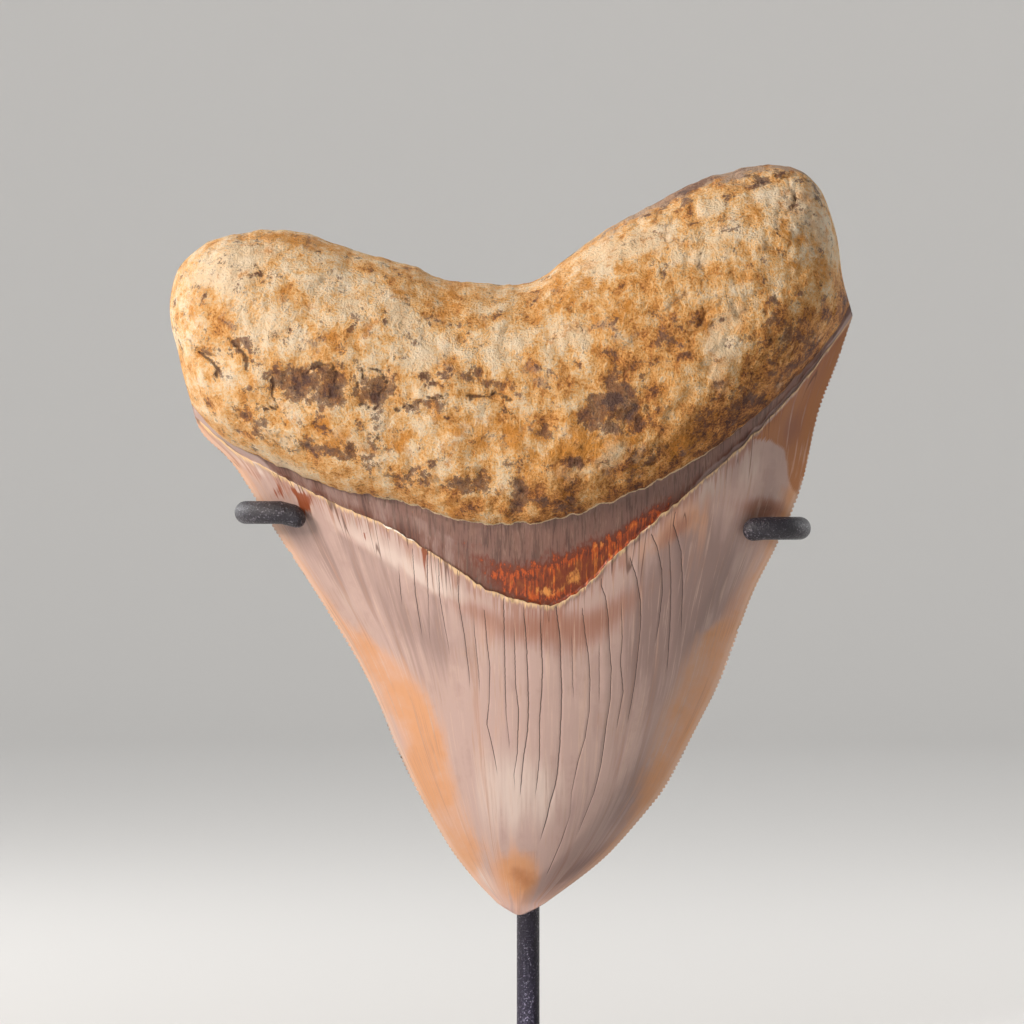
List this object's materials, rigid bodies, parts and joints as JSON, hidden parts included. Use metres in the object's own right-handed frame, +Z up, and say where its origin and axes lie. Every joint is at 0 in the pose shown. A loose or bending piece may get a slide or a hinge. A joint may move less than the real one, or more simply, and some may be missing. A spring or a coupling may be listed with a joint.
{
  "type": "fossil shark tooth on a display stand",
  "caption": "Large fossil megalodon tooth held point down by two wire hooks on a black coated post and foot.",
  "frame": {"origin": "centre of the underside of the foot's rubber pad, on the surface the stand rests on", "axes": "+Z up, +X to the right seen from the front, -Y towards the viewer and the tooth's swollen side"},
  "size_m": [0.1426, 0.08, 0.2072],
  "materials": {
    "fossil_tooth": "rough mineralised root, polished natural enamel",
    "coated_steel": "fine-textured black powder coat",
    "foot_rubber": "matte black sheet rubber"
  },
  "bodies": {
    "root": {"tooth": "fossil_tooth", "post": "coated_steel", "left_arm": "coated_steel", "right_arm": "coated_steel", "base_plate": "coated_steel", "rubber_pad": "foot_rubber"}
  },
  "joints": []
}
